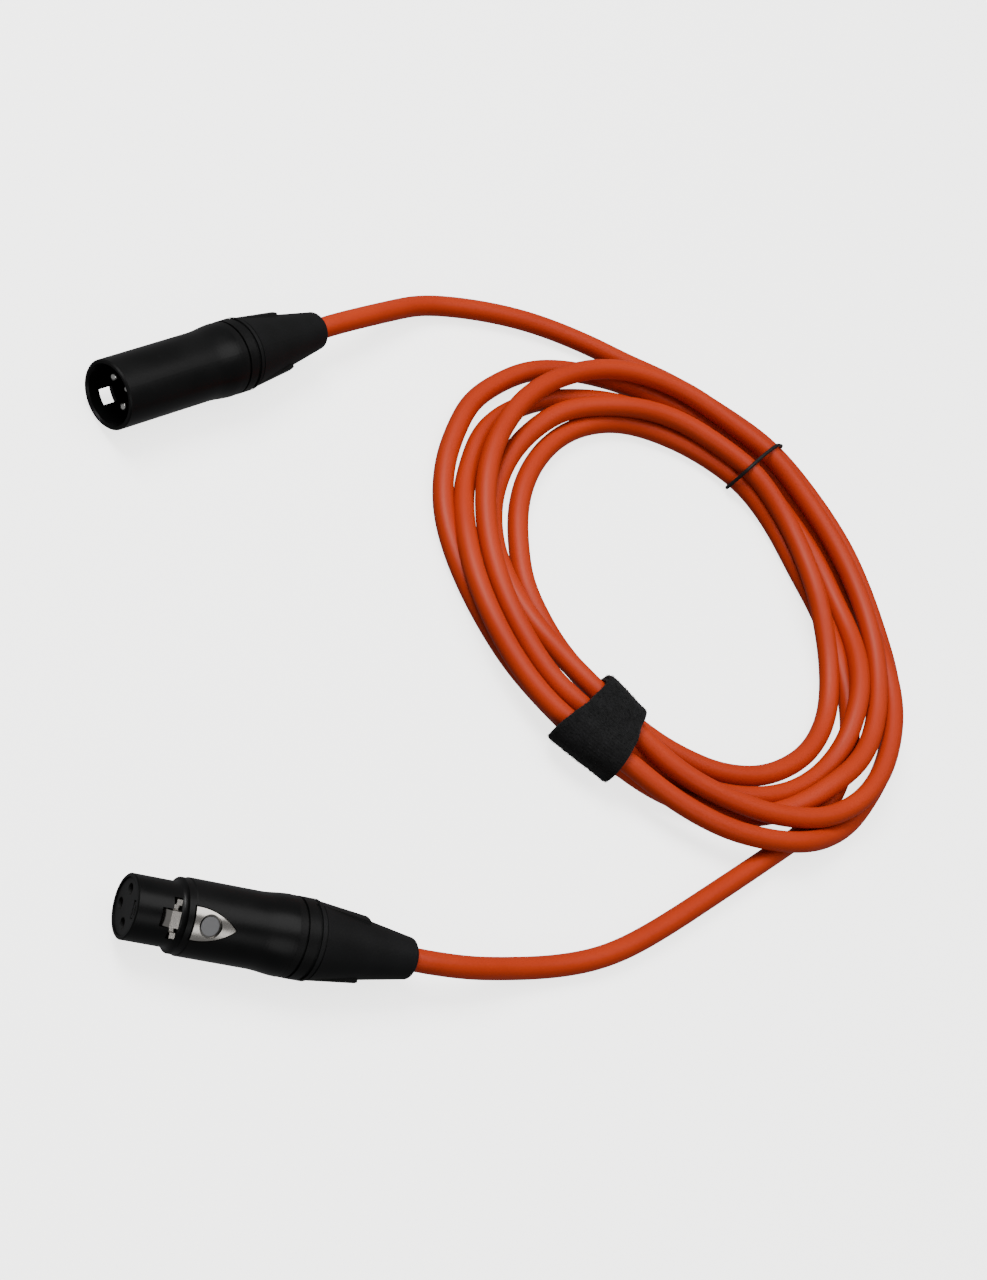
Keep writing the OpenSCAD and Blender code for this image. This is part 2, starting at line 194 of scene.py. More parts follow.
# %% [markdown]
# ## The jacket of the cable
# The jacket is soft orange PVC, extruded in one run, with a satin skin. Up
# close the skin has a very fine grain and slow changes in tone where it was
# handled and wound. It could be one flat orange, but then the long curves look
# like plastic pipe, so tone, gloss and grain each get their own noise.

# %% Jacket finish
def paint_jacket(board, where, link):
    slow = board.steps(board.noise(where, 26.0, 3.0), (0.3, 0.0), (0.7, 1.0))
    fine = board.noise(where, 900.0, 4.0, 0.6)
    scuffs = board.steps(board.noise(where, 190.0, 5.0, 0.7), (0.6, 0.0), (0.74, 1.0))
    tone = board.mix(slow, (0.37, 0.0250, 0.0022, 1), (0.43, 0.0320, 0.0032, 1))
    tone = board.mix(scuffs * 0.10, tone, (0.50, 0.06, 0.015, 1))
    tone = board.mix(fine * 0.12, tone, (0.26, 0.008, 0.0005, 1))
    link("Base Color", tone)
    link("Roughness", 0.43 + slow * 0.06 + scuffs * 0.08 + fine * 0.05)
    link("Normal", board.bump(fine, 0.00005, 0.35))


jacket = finish_material("jacket_pvc", paint_jacket, Specular_IOR_Level=0.22)
print("jacket finish has", len(jacket.node_tree.nodes), "nodes")


# %% [markdown]
# ## The route of the cable
# A hand-wound cable is best described as the hand made it: by the clock. Each
# turn is a list of places, every one a clock angle about the middle of the
# coil, a distance from the middle and a height above the table, in millimetres.
# The distances were measured off a view of a real coil by a separate program,
# then thinned out and rounded to half a millimetre, and the heights are judged.
# The free leads are plain points that were measured in the same way.
#
# Strands that cross rise and fall slowly, and the bundle is lifted near the
# strap and the ring by what passes below it. Where one strand climbs over
# another, the two press a little into each other.

# %% Route points
COIL_MIDDLE = (73.3, 41.9)
CABLE_D = 6.0

MALE_LEAD = [(-48.1, 85.24, 10.15), (-41.71, 90.05, 10.15), (-33.7, 96.2, 8.8),
             (-22.7, 105, 6), (-12, 112.9, 3.6), (-1.8, 116.9, 3), (8.3, 119.5, 3),
             (18.8, 121.4, 3), (29.3, 122.3, 3), (40.1, 122.1, 3), (49.8, 121.3, 3),
             (59.3, 119.9, 3)]
FEMALE_LEAD = [(109.3, -29.5, 3), (104.8, -33.3, 3), (92.7, -43.5, 3),
               (82.4, -52.1, 3), (72.3, -60.5, 3), (62.3, -68.5, 3),
               (52.3, -75.7, 3), (42.6, -81.1, 3), (33.1, -84.9, 3),
               (23.3, -88.2, 3.8), (13.1, -91.6, 6), (2.8, -94.9, 8.6),
               (-7.16, -96.81, 10.15), (-15.14, -97.3, 10.15)]

FIRST_TURN = [
    (0, 77, 3), (15, 75, 3), (30, 74.5, 3), (45, 74.5, 3), (60, 74.5, 3),
    (72, 74.5, 3), (82, 75.5, 3), (92, 78, 3), (102, 80, 3), (114, 81.5, 3),
    (126, 82, 3), (136, 83, 3.2), (145, 82.5, 5.5), (152, 82, 8.3), (160, 80, 9),
    (170, 77, 9), (177, 74.5, 9), (184, 72, 9), (191, 70, 9), (200, 68.5, 9),
    (211, 69.5, 8.5)]
SECOND_TURN = [
    (222, 70.5, 8.2), (234, 70.5, 8.5), (245, 71, 8.5), (255, 71.5, 8), (264, 71.5, 7),
    (272, 71.5, 5.5), (280, 71.5, 3.8), (288, 71.5, 3), (297, 72.5, 3), (304, 72, 3),
    (312, 70.5, 3), (320, 69, 3), (330, 66.5, 3), (340, 65, 3), (350, 63.5, 3),
    (0, 62.5, 3), (15, 61.5, 3), (30, 60.5, 3), (45, 60.5, 3), (60, 61, 3),
    (75, 61.5, 3.5), (85, 62.5, 5.5), (95, 63, 8), (105, 64, 9), (114, 65, 8.2),
    (122, 66.5, 6), (131, 67, 3.8), (141, 66.5, 3), (150, 65.5, 3), (160, 64, 3),
    (170, 62.5, 3), (180, 61, 3), (190, 60, 3.2), (199, 60.5, 4.5), (206, 61.5, 6.8)]
THIRD_TURN = [
    (215, 63, 8.5), (225, 63.5, 8.5), (240, 63.5, 8.5), (255, 64.5, 8.5), (270, 66, 8.5),
    (285, 68, 9), (300, 69.5, 9), (315, 71, 9), (330, 72, 9), (343, 72.5, 9),
    (355, 71.5, 9), (5, 70, 9), (15, 68, 9), (30, 66.5, 9), (45, 65.5, 9),
    (60, 65.5, 9), (75, 66.5, 9), (90, 68.5, 9), (105, 70.5, 9), (117, 72, 9),
    (126, 72, 9), (135, 71, 9), (142, 71, 7.5), (150, 71, 5.5), (158, 70.5, 3.8),
    (166, 69.5, 3), (176, 68, 3), (188, 66.5, 3), (199, 66, 3)]
FOURTH_TURN = [
    (210, 66, 3), (222, 66, 3), (234, 67, 3), (246, 69, 3), (254, 71, 3),
    (262, 73.5, 3), (272, 76.5, 3), (284, 78.5, 3), (295, 79.5, 3), (303, 80.5, 3),
    (313, 79.5, 3), (323, 78.5, 3), (332, 76, 3), (340, 73.5, 3), (350, 71, 3),
    (0, 69, 3), (15, 68, 3), (30, 67, 3), (45, 67, 3), (60, 67.5, 3), (70, 69, 3),
    (80, 71, 4), (88, 73, 5.7), (95, 74.5, 7.3), (103, 76.5, 8.3), (112, 78, 9),
    (121, 79.5, 9), (130, 80, 9), (138, 79, 9), (145, 77.5, 9), (151, 75, 9),
    (157, 72.5, 9), (163, 70, 9), (169, 67.5, 9), (176, 65, 9), (183, 62.5, 9),
    (191, 60, 9), (202, 57, 9)]
FIFTH_TURN = [
    (215, 55, 8.5), (228, 54.5, 8), (238, 56, 7), (248, 57, 5), (257, 58.5, 4),
    (266, 60, 3), (277, 61.5, 3), (287, 62, 3), (298, 62.5, 4), (310, 62.5, 5),
    (322, 62.5, 6.5), (333, 61, 7.5), (343, 60, 8.5), (355, 59.5, 8.5), (6, 58.5, 8.5),
    (18, 57, 8.5), (28, 56, 8.5), (38, 54.5, 8.5), (48, 53, 8.5), (57, 51.5, 8.5),
    (66, 50.5, 8.5), (74, 50.5, 8.5), (84, 51.5, 7), (94, 54, 5), (104, 56.5, 3.6),
    (113, 58.5, 3), (122, 59.5, 3), (132, 60, 3), (142, 59.5, 3), (151, 59, 3),
    (160, 57.5, 3), (168, 56, 3), (176, 54, 3), (184, 52.5, 3), (195, 51.5, 3)]
LAST_TURN = [
    (208, 50.5, 3), (221, 50, 3), (234, 50, 3), (244, 50.5, 3), (256, 52, 3),
    (268, 52, 3), (278, 53, 3), (288, 54, 3), (298, 55, 3), (309, 56, 3),
    (321, 57, 3), (333, 57.5, 3), (345, 57.5, 3), (356, 56.5, 3), (7, 56, 3),
    (18, 55.5, 3), (30, 54.5, 3), (45, 53.5, 3), (56, 52, 3), (65, 52, 3),
    (75, 54, 3), (85, 56.5, 3), (95, 60, 3), (105, 64, 3), (115, 68, 3),
    (125, 71, 3), (135, 74.5, 3), (145, 77.5, 3)]

STRAP_CLOCK, STRAP_LAYER, STRAP_HALF = 208.0, 1.5, 9.0
RING_CLOCK, RING_D, RING_HALF = 29.0, 1.1, 2.0
LIFT_FADE = 12.0
POINT_STEP, RELAX_PASSES, HELD_POINTS = 1.7, 14, 4


# %% From clock places to a smooth line
def clock_gap(a, b):
    return abs((a - b + 180.0) % 360.0 - 180.0)


def lift(clock):
    """How far the ties below it raise the bundle, fading out on each side."""
    raised = 0.0
    for centre, height, half in ((STRAP_CLOCK, STRAP_LAYER, STRAP_HALF),
                                 (RING_CLOCK, RING_D, RING_HALF)):
        away = max(0.0, clock_gap(clock, centre) - half) / LIFT_FADE
        if away < 1.0:
            raised += height * (1.0 - away * away * (3.0 - 2.0 * away))
    return raised


def section_point(clock, radius, height):
    angle = math.radians(clock)
    return Vector((COIL_MIDDLE[0] + radius * math.sin(angle),
                   COIL_MIDDLE[1] + radius * math.cos(angle), height))


def clock_point(clock, radius, height):
    """A place on the cable's route, raised by the ties below it."""
    return section_point(clock, radius, height + lift(clock))


def smooth_line(knots, step):
    """Points about step apart on a centripetal curve through the knots."""
    out = []
    for i in range(len(knots) - 1):
        b, c = knots[i], knots[i + 1]
        a = knots[i - 1] if i else b + (b - c)
        d = knots[i + 2] if i + 2 < len(knots) else c + (c - b)
        ta, tb, tc = ((q - p).length ** 0.5 for p, q in ((a, b), (b, c), (c, d)))
        m1 = ((b - a) / ta - (c - a) / (ta + tb) + (c - b) / tb) * tb
        m2 = ((c - b) / tb - (d - b) / (tb + tc) + (d - c) / tc) * tb
        count = max(2, round((c - b).length / step))
        for k in range(count):
            t = k / count
            out.append((2 * t ** 3 - 3 * t * t + 1) * b + (t ** 3 - 2 * t * t + t) * m1
                       + (3 * t * t - 2 * t ** 3) * c + (t ** 3 - t * t) * m2)
    return out + [knots[-1]]


def relax(points, passes, fixed):
    """Lets a line ease itself, as a springy cable does, with its ends held."""
    for _ in range(passes):
        points = points[:fixed] + [
            (points[i - 1] + 2 * points[i] + points[i + 1]) / 4
            for i in range(fixed, len(points) - fixed)] + points[-fixed:]
    return points


turns = (FIRST_TURN + SECOND_TURN + THIRD_TURN + FOURTH_TURN + FIFTH_TURN
         + LAST_TURN)
knots = ([Vector(p) for p in MALE_LEAD] + [clock_point(*p) for p in turns]
         + [Vector(p) for p in FEMALE_LEAD])
line = relax(smooth_line(knots, POINT_STEP), RELAX_PASSES, HELD_POINTS)
cable_length = sum((b - a).length for a, b in zip(line, line[1:])) * MM
print("cable points", len(line), "length", round(cable_length, 3), "m")


# %% [markdown]
# ## Sweeping a round section along a line
# The cable and the ring are both a round section that follows a line, so one
# Geometry Nodes tree makes them: the line becomes a curve, a circle is swept
# along it, and the result is shaded smooth. The tree is baked to a plain mesh.

# %% The sweep tree
def geometry_tree(name, inputs):
    """A new tree, and a way to take each of its inputs by label."""
    tree = bpy.data.node_groups.new(name, "GeometryNodeTree")
    for label, kind in (("Geometry", "NodeSocketGeometry"), *inputs):
        tree.interface.new_socket(label, in_out="INPUT", socket_type=kind)
    tree.interface.new_socket("Geometry", in_out="OUTPUT",
                              socket_type="NodeSocketGeometry")
    board = Board(tree)
    given = board.node("NodeGroupInput")
    return board, lambda label: board.out(given, label)


def finish_tree(board, geometry, material):
    """Ends a tree with smooth shading, realised instances and a material."""
    smooth = board.node("GeometryNodeSetShadeSmooth", {}, {"Geometry": geometry})
    real = board.node("GeometryNodeRealizeInstances", {},
                      {"Geometry": board.out(smooth)})
    coated = board.node("GeometryNodeSetMaterial", {},
                        {"Geometry": board.out(real), "Material": material})
    board.node("NodeGroupOutput", {}, {0: board.out(coated)})


def sweep_tree():
    board, take = geometry_tree("sweep_round_section", [
        ("Radius", "NodeSocketFloat"), ("Sides", "NodeSocketInt"),
        ("Material", "NodeSocketMaterial")])
    curve = board.node("GeometryNodeMeshToCurve", {}, {"Mesh": take("Geometry")})
    ring = board.node("GeometryNodeCurvePrimitiveCircle", {"mode": "RADIUS"},
                      {"Resolution": take("Sides"), "Radius": take("Radius")})
    tube = board.node("GeometryNodeCurveToMesh", {},
                      {"Curve": board.out(curve), "Profile Curve": board.out(ring),
                       "Fill Caps": True})
    finish_tree(board, board.out(tube), take("Material"))
    return board.tree


def line_object(name, points, closed=False):
    """A bare line of edges through points given in millimetres."""
    edges = [(i, i + 1) for i in range(len(points) - 1)]
    if closed:
        edges.append((len(points) - 1, 0))
    mesh = bpy.data.meshes.new(name)
    mesh.from_pydata([p * MM for p in points], edges, [])
    made = bpy.data.objects.new(name, mesh)
    bpy.context.scene.collection.objects.link(made)
    return made


def bake_tree(made, tree, values):
    """Runs a Geometry Nodes tree on an object and keeps the plain mesh."""
    modifier = made.modifiers.new("make", "NODES")
    modifier.node_group = tree
    for item in tree.interface.items_tree:
        if item.in_out == "INPUT" and item.name in values:
            modifier[item.identifier] = values[item.name]
    bpy.context.view_layer.update()
    graph = bpy.context.evaluated_depsgraph_get()
    baked = bpy.data.meshes.new_from_object(made.evaluated_get(graph))
    made.modifiers.clear()
    made.data = baked
    return made


def outward(mesh):
    """Turns a closed mesh's faces outwards."""
    shape = bmesh.new()
    shape.from_mesh(mesh)
    bmesh.ops.recalc_face_normals(shape, faces=shape.faces)
    shape.to_mesh(mesh)
    shape.free()


SWEEP, CABLE_SIDES = sweep_tree(), 28
cable = bake_tree(line_object("cable_run", line), SWEEP,
                  {"Radius": CABLE_D / 2 * MM, "Sides": CABLE_SIDES, "Material": jacket})
outward(cable.data)
print("cable mesh", len(cable.data.polygons), "faces")


# %% [markdown]
# ## What the ties hold
# A strap or ring pulls tight round the strands that pass under it. Its shape is
# the outline of that bundle: the cable's line is cut by a plane through the
# middle of the coil, and a hull round the cut discs is what a tie follows.

# %% Cut the bundle and wrap it
INNER_REACH, OUTER_REACH = 40, 84
HULL_STEP, HULL_DOTS = math.pi / 18, 36


def bundle_section(clock):
    """(distance, height) of each strand that crosses this clock angle."""
    angle = math.radians(clock)
    out_way = Vector((math.sin(angle), math.cos(angle), 0))
    side_way = Vector((math.cos(angle), -math.sin(angle), 0))
    middle = Vector((*COIL_MIDDLE, 0))
    found = []
    for a, b in zip(line, line[1:]):
        s, t = (a - middle).dot(side_way), (b - middle).dot(side_way)
        if s * t <= 0 and s != t:
            hit = a.lerp(b, s / (s - t)) - middle
            if INNER_REACH < hit.dot(out_way) < OUTER_REACH:
                found.append((hit.dot(out_way), hit.z))
    return found


def wrap_outline(clock, clearance, count, centre):
    """A closed outline round the bundle: its reach along count even directions."""
    reach = CABLE_D / 2 + clearance
    dots = [(r + reach * math.cos(k * HULL_STEP), z + reach * math.sin(k * HULL_STEP))
            for r, z in bundle_section(clock) for k in range(HULL_DOTS)]
    hull = [dots[i] for i in convex_hull_2d(dots)]
    out = []
    for k in range(count):
        angle = 2 * math.pi * k / count
        way = (math.cos(angle), math.sin(angle))
        best = 0.0
        for (ax, az), (bx, bz) in zip(hull, hull[1:] + hull[:1]):
            ex, ez = bx - ax, bz - az
            cross = way[0] * ez - way[1] * ex
            if abs(cross) > 1e-9:
                px, pz = ax - centre[0], az - centre[1]
                along = (px * ez - pz * ex) / cross
                share = (px * way[1] - pz * way[0]) / cross
                if along > 0 and -1e-6 <= share <= 1 + 1e-6:
                    best = max(best, along)
        out.append(best)
    return out


print("strands under the strap", [tuple(round(v, 1) for v in s)
                                  for s in bundle_section(STRAP_CLOCK)])
print("strands in the ring", [tuple(round(v, 1) for v in s)
                              for s in bundle_section(RING_CLOCK)])


# %% [markdown]
# ## The rubber ring
# The ring is a thin black cord of rubber that holds the far side of the bundle.
# It is swept by the same tree, round the outline of the strands, and it lies a
# little askew, as a ring that was rolled on by hand does.

# %% Ring finish and shape
def paint_ring(board, where, link):
    grain = board.noise(where, 1800.0, 4.0, 0.6)
    dust = board.steps(board.noise(where, 300.0, 3.0), (0.45, 0.0), (0.7, 1.0))
    tone = board.mix(dust * 0.5 + grain * 0.2, shade(0.005), shade(0.014))
    link("Base Color", tone)
    link("Roughness", 0.5 + grain * 0.15)
    link("Normal", board.bump(grain, 0.00004, 0.4))


ring_rubber = finish_material("ring_rubber", paint_ring, Specular_IOR_Level=0.25)
RING_SIDES, RING_POINTS, RING_ASKEW = 16, 120, 0.23
ring_centre = (65.0, 7.0)
ring_reach = wrap_outline(RING_CLOCK, RING_D / 2, RING_POINTS, ring_centre)
ring_line = []
for k, reach in enumerate(ring_reach):
    angle = 2 * math.pi * k / RING_POINTS
    radius = ring_centre[0] + reach * math.cos(angle)
    height = ring_centre[1] + reach * math.sin(angle)
    askew = RING_CLOCK + RING_ASKEW * (radius - ring_centre[0])
    ring_line.append(section_point(askew, radius, max(height, RING_D / 2)))
ring = bake_tree(line_object("bundle_ring_cord", ring_line, closed=True), SWEEP,
                 {"Radius": RING_D / 2 * MM, "Sides": RING_SIDES,
                  "Material": ring_rubber})
outward(ring.data)
print("ring lowest point", round(min(v.co.z for v in ring.data.vertices) * 1000, 2), "mm")


# %% [markdown]
# ## The hook-and-loop strap
# The strap is a woven tape, pulled round the bundle and pressed onto itself, so
# the top carries two layers. It is made directly as thin cloth: a grid that
# follows the bundle's outline, station by station across its width, with the
# second layer climbing onto the first. A solid stand-in would hide the soft,
# uneven edge that tells the eye it is cloth. The free end is tucked away on the
# inner side of the bundle.

# %% Strap finish
def paint_strap(board, where, link):
    uv = board.out(board.node("ShaderNodeUVMap", {"uv_map": "tape"}))
    parts = board.node("ShaderNodeSeparateXYZ", {}, {0: uv})
    warp, weft = board.out(parts, 0), board.out(parts, 1)

    def rib(value, count):
        turned = board.node("ShaderNodeMath", {"operation": "SINE"},
                            {0: value * (count * 2 * math.pi)})
        return board.out(turned) * 0.5 + 0.5

    cross = rib(warp, 1.6) * 0.6 + rib(weft, 2.0) * 0.4
    pile = board.noise(where, 1500.0, 6.0, 0.75)
    tufts = board.noise(where, 480.0, 4.0, 0.6)
    fluff = board.steps(pile * 0.6 + tufts * 0.4, (0.42, 0.0), (0.66, 1.0))
    link("Base Color", board.mix(fluff * 0.7 + cross * 0.15,
                                 shade(0.0025), shade(0.0140, 1.0, 1.05)))
    link("Roughness", 0.85 + fluff * 0.12)
    link("Normal", board.bump(pile * 0.7 + tufts * 0.5 + cross * 0.25, 0.0004, 0.8))


strap_cloth = finish_material("strap_cloth", paint_strap, Specular_IOR_Level=0.1,
                              Sheen_Weight=0.05, Sheen_Roughness=0.5)

# %% Strap shape
STRAP_W, STRAP_T = 16.0, 1.2
STRAP_ROWS, STRAP_POINTS = 15, 96
STRAP_START, STRAP_TURNS = 0.94, 1.61
STRAP_GAP, STRAP_RADIUS = 0.15, 61.0
CLIMB_FROM, CLIMB_OVER = 0.94, 0.10
FOLDS = ((-0.15, 1.8, 0.6), (2.6, 0.5, 0.5))
strap_centre = (60.0, 8.0)


def loose_fold(angle):
    """How far the tape stands off the bundle: a slack fold low on the outside,
    and a smaller one high on the inside."""
    out = 0.0
    for centre, height, half in FOLDS:
        away = (angle - centre + math.pi) % (2 * math.pi) - math.pi
        out += height * math.exp(-(away / half) ** 2)
    return out


def strap_grid():
    """Points of the tape, row by row across its width, in millimetres."""
    rows = []
    steps = int(STRAP_POINTS * STRAP_TURNS)
    for j in range(STRAP_ROWS):
        v = j / (STRAP_ROWS - 1) - 0.5
        row = []
        clock_here = STRAP_CLOCK + math.degrees(v * STRAP_W / strap_centre[0])
        reach = wrap_outline(clock_here, STRAP_GAP + STRAP_T / 2, STRAP_POINTS,
                             strap_centre)
        for i in range(steps + 1):
            turned = (STRAP_START + i / STRAP_POINTS) % 1.0
            layer = min(max(i / STRAP_POINTS - CLIMB_FROM, 0.0) / CLIMB_OVER, 1.0)
            layer = layer * layer * (3 - 2 * layer)
            spot = turned * STRAP_POINTS
            low = int(spot) % STRAP_POINTS
            share = spot - int(spot)
            out = reach[low] * (1 - share) + reach[(low + 1) % STRAP_POINTS] * share
            angle = 2 * math.pi * turned
            wave = 0.35 * math.sin(5 * angle + 7 * v) * (2 * v) ** 2
            edge = 0.9 * math.sin(2 * angle + 1.3) + 0.35 * math.sin(5 * angle)
            out += layer * (STRAP_T + STRAP_GAP) + wave + loose_fold(angle)
            radius = strap_centre[0] + out * math.cos(angle)
            height = max(strap_centre[1] + out * math.sin(angle), STRAP_T / 2 + 0.02)
            skew = 0.9 * (radius - strap_centre[0]) / 16.0 * (0.6 + 0.4 * layer)
            side = v * STRAP_W + edge * abs(v) * 1.2 + skew * 1.5 * v
            clock = STRAP_CLOCK + math.degrees(side / STRAP_RADIUS)
            row.append(section_point(clock, radius, height))
        rows.append(row)
    return rows


def strap_object(rows):
    across, along = len(rows), len(rows[0])
    mesh = bpy.data.meshes.new("strap_tape")
    faces = [(j * along + i, j * along + i + 1,
              (j + 1) * along + i + 1, (j + 1) * along + i)
             for j in range(across - 1) for i in range(along - 1)]
    mesh.from_pydata([p * MM for row in rows for p in row], [], faces)
    layer = mesh.uv_layers.new(name="tape")
    for loop in mesh.loops:
        j, i = divmod(loop.vertex_index, along)
        layer.data[loop.index].uv = (i * 0.8, j * STRAP_W / (across - 1))
    made = bpy.data.objects.new("strap_tape", mesh)
    bpy.context.scene.collection.objects.link(made)
    return made


def settle_modifiers(made):
    """Applies what finishes a shape, so that the object keeps a plain mesh."""
    graph = bpy.context.evaluated_depsgraph_get()
    baked = bpy.data.meshes.new_from_object(made.evaluated_get(graph))
    made.modifiers.clear()
    made.data = baked


strap_rows = strap_grid()
strap = strap_object(strap_rows)
thick = strap.modifiers.new("thickness", "SOLIDIFY")
thick.thickness = STRAP_T * MM * 0.92
thick.offset = 0.0
rounded = strap.modifiers.new("soft_edge", "SUBSURF")
rounded.levels = rounded.render_levels = 1
settle_modifiers(strap)
strap.data.materials.append(strap_cloth)
for polygon in strap.data.polygons:
    polygon.use_smooth = True
outward(strap.data)


# %% [markdown]
# ## Loops of the pile
# The outside of a hook-and-loop tape is a mat of tiny yarn loops, and they
# break up its outline. A Geometry Nodes tree scatters short bent hairs over the
# tape with a fixed seed and stands each one along the surface.

# %% Pile tree
def pile_tree():
    board, take = geometry_tree("tape_pile", [
        ("Density", "NodeSocketFloat"), ("Hair Length", "NodeSocketFloat"),
        ("Hair Radius", "NodeSocketFloat"), ("Material", "NodeSocketMaterial")])
    spots = board.node("GeometryNodeDistributePointsOnFaces",
                       {"distribute_method": "RANDOM"},
                       {"Mesh": take("Geometry"), "Density": take("Density"),
                        "Seed": 7})
    bend = board.node("GeometryNodeCurveArc", {"mode": "RADIUS"},
                      {"Resolution": 4, "Radius": take("Hair Length"),
                       "Sweep Angle": math.radians(150)})
    thread = board.node("GeometryNodeCurvePrimitiveCircle", {"mode": "RADIUS"},
                        {"Resolution": 3, "Radius": take("Hair Radius")})
    loop = board.node("GeometryNodeCurveToMesh", {},
                      {"Curve": board.out(bend), "Profile Curve": board.out(thread),
                       "Fill Caps": True})
    upright = board.node("GeometryNodeTransform", {},
                         {"Geometry": board.out(loop),
                          "Rotation": (math.radians(90), 0, 0)})
    spin = board.node("FunctionNodeRandomValue", {"data_type": "FLOAT"},
                      {2: 0.0, 3: 6.283, "Seed": 11})
    size = board.node("FunctionNodeRandomValue", {"data_type": "FLOAT"},
                      {2: 0.6, 3: 1.3, "Seed": 12})
    axis = board.node("ShaderNodeCombineXYZ", {}, {2: board.out(spin, 1)})
    turned = board.node("FunctionNodeRotateRotation", {"rotation_space": "LOCAL"},
                        {0: board.out(spots, "Rotation")})
    euler = board.node("FunctionNodeEulerToRotation", {}, {0: board.out(axis)})
    board.tree.links.new(euler.outputs[0], turned.inputs[1])
    placed = board.node("GeometryNodeInstanceOnPoints", {},
                        {"Points": board.out(spots), "Instance": board.out(upright),
                         "Rotation": board.out(turned), "Scale": board.out(size, 1)})
    finish_tree(board, board.out(placed), take("Material"))
    return board.tree


pile = bpy.data.objects.new("strap_pile", strap.data.copy())
bpy.context.scene.collection.objects.link(pile)
bake_tree(pile, pile_tree(), {"Density": 1.4e6, "Hair Length": 0.00022,
                              "Hair Radius": 0.000035, "Material": strap_cloth})
print("pile", len(pile.data.polygons), "faces")


# %% [markdown]
# ## Finishes of the connectors
# Both connectors have die-cast shells with a satin black coating, moulded
# bushings, soft boots and plated contacts. Each finish starts from the plain
# colour of such a part, then gets the grain that its making leaves: orange
# peel in a coating, moulding grain in plastic, fine lines in turned metal.

# %% Moulded and coated blacks
def paint_coating(board, where, link):
    peel = board.noise(where, 1400.0, 2.0)
    smudge = board.steps(board.noise(where, 60.0, 4.0), (0.35, 0.0), (0.7, 1.0))
    rubs = board.steps(board.noise(where, 420.0, 6.0, 0.75), (0.63, 0.0), (0.75, 1.0))
    tone = board.mix(smudge, shade(0.0018), shade(0.0032))
    link("Base Color", board.mix(rubs * 0.25, tone, shade(0.014)))
    link("Roughness", 0.30 + smudge * 0.10 + rubs * 0.12)
    link("Normal", board.bump(peel, 0.00003, 0.35))


def cloud_tone(board, cloud, low, high):
    """A tone that drifts between low and high with the clouds of a noise."""
    return board.mix(board.steps(cloud, (0.3, 0.0), (0.7, 1.0)), low, high)


def moulded(name, low, high, rough, grain_scale, depth, **constants):
    """A moulded plastic or rubber: two near tones, a grain and a dull skin."""
    def paint(board, where, link):
        grain = board.noise(where, grain_scale, 3.0, 0.6)
        cloud = board.noise(where, 90.0, 3.0)
        link("Base Color", cloud_tone(board, cloud, low, high))
        link("Roughness", rough + grain * 0.12 - cloud * 0.06)
        link("Normal", board.bump(grain, depth, 0.5))
    return finish_material(name, paint, **constants)


shell_black = finish_material("shell_coating", paint_coating,
                              Specular_IOR_Level=0.16)
bushing_black = moulded("bushing_nylon", shade(0.0022), shade(0.0040),
                        0.40, 1600.0, 0.00005, Specular_IOR_Level=0.14)
boot_black = moulded("boot_rubber", shade(0.0035), shade(0.0060, 1.0, 1.06),
                     0.50, 1100.0, 0.00007, Specular_IOR_Level=0.14)
insert_black = moulded("insert_plastic", shade(0.008), shade(0.013),
                       0.5, 1500.0, 0.00004, Specular_IOR_Level=0.25)
chuck_white = moulded("chuck_nylon", shade(0.72, 1.0, 0.96), shade(0.8, 1.0, 0.97),
                      0.42, 1300.0, 0.00004)
wire_red = moulded("wire_red_pvc", (0.50, 0.020, 0.014, 1), (0.60, 0.028, 0.018, 1),
                   0.35, 1200.0, 0.00003)
wire_white = moulded("wire_white_pvc", shade(0.74), shade(0.82),
                     0.35, 1200.0, 0.00003)


# %% Plated and bare metals
def metal(name, low, high, rough, line_scale, stretch):
    """A metal with fine lines drawn by its making, and slow dull clouds."""
    def paint(board, where, link):
        drawn = board.node("ShaderNodeMapping", {}, {"Vector": where, "Scale": stretch})
        lines = board.noise(board.out(drawn), line_scale, 5.0, 0.7)
        cloud = board.noise(where, 160.0, 3.0)
        link("Base Color", cloud_tone(board, cloud, low, high))
        link("Roughness", rough + lines * 0.10 + cloud * 0.06)
        link("Normal", board.bump(lines, 0.00002, 0.3))
    return finish_material(name, paint, Metallic=1.0)


contact_silver = metal("contact_silver_plate", shade(0.72, 1.02, 0.95),
                       shade(0.86, 1.01, 0.97), 0.12, 700.0, (1, 1, 5))
contact_gold = metal("contact_gold_plate", (0.74, 0.50, 0.18, 1), (0.86, 0.62, 0.26, 1),
                     0.14, 700.0, (1, 1, 5))
spring_steel = metal("spring_steel", shade(0.42), shade(0.55), 0.24, 900.0, (4, 1, 1))
wire_copper = metal("wire_copper", (0.62, 0.28, 0.14, 1), (0.78, 0.40, 0.22, 1),
                    0.28, 1500.0, (1, 5, 5))


# %% [markdown]
# ## The latch
# The latch is a plated lever with a shallow dish for the thumb. The plating is
# polished, but the dish is left matte so that the thumb grips, and that round
# grey patch is what marks the part out. A dark ring round the patch is painted
# shade, standing in for the shade along the rim of the dish. A distance from the
# dish's middle makes the mask, so the edge of the patch is crisp and does not
# depend on the mesh.

# %% Latch finish
THUMB_MIDDLE = (-0.0733, -0.1059, 0.0179)
# the outer radius is where the painted shade of the dish's rim ends
PAD_R, RIM_SHADE_R = 0.0023, 0.0029


